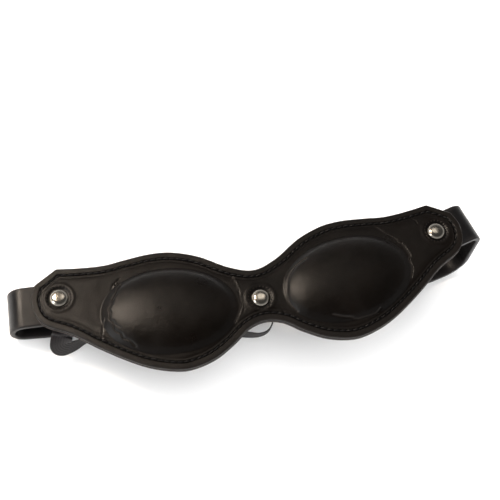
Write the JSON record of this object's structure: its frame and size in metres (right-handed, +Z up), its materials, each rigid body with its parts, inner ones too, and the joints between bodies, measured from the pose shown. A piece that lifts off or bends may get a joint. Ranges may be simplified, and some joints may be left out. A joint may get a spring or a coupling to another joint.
{
  "type": "padded leather eye mask",
  "caption": "Padded eye mask of riveted, stitched leather with moulded eye domes, two curled head straps, a tongue buckle, a keeper and a thin elastic band.",
  "frame": {"origin": "middle of the object's footprint box, on the table that it lies on", "axes": "+X along the mask from the punched strap's end to the buckle end, +Y towards the mask's upper edge, +Z up"},
  "size_m": [0.288, 0.0768, 0.0577],
  "materials": {
    "cover_leather": "satin, smooth grain",
    "lining_leather": "matt flesh side",
    "strap_leather": "glossy, burnished edges",
    "board": "raw fibre",
    "foam": "soft felt and foam",
    "thread": "waxed thread",
    "elastic": "ribbed weave",
    "nickel": "polished nickel"
  },
  "bodies": {
    "pad": {"front_cover": "cover_leather", "stiffener": "board", "back_lining": "lining_leather", "foam_left": "foam", "foam_right": "foam", "border_stitching": "thread", "elastic_band": "elastic", "rivet_cap_left": "nickel", "rivet_cap_center": "nickel", "rivet_cap_right": "nickel", "rivet_post_left": "nickel", "rivet_post_center": "nickel", "rivet_post_right": "nickel"},
    "left_strap": {"left_strap": "strap_leather"},
    "right_strap": {"right_strap": "strap_leather", "chape_rivet_cap": "nickel", "chape_rivet_post": "nickel"},
    "buckle_frame": {"buckle_frame": "nickel"},
    "buckle_tongue": {"buckle_tongue": "nickel"},
    "strap_keeper": {"strap_keeper": "strap_leather"}
  },
  "joints": [
    {"name": "left_strap_swivel", "type": "hinge", "parent": "pad", "child": "left_strap", "pos_m": [-0.11396, 0.01762, 0.01955], "axis": [-0.1219, 0, 0.9925], "range_deg": [-10, 10]},
    {"name": "right_strap_swivel", "type": "hinge", "parent": "pad", "child": "right_strap", "pos_m": [0.10936, 0.01762, 0.04697], "axis": [-0.1219, 0, 0.9925], "range_deg": [-12, 12]},
    {"name": "buckle_swing", "type": "hinge", "parent": "right_strap", "child": "buckle_frame", "pos_m": [0.07593, 0.00893, 0.02059], "axis": [-0.2588, 0.9659, 0], "range_deg": [-5, 20]},
    {"name": "tongue_swing", "type": "hinge", "parent": "buckle_frame", "child": "buckle_tongue", "pos_m": [0.07593, 0.00893, 0.02059], "axis": [0.2588, -0.9659, 0], "range_deg": [0, 40]},
    {"name": "keeper_slide", "type": "slide", "parent": "right_strap", "child": "strap_keeper", "axis": [0.9077, 0.2432, -0.342], "range_m": [0, 0.003]}
  ]
}
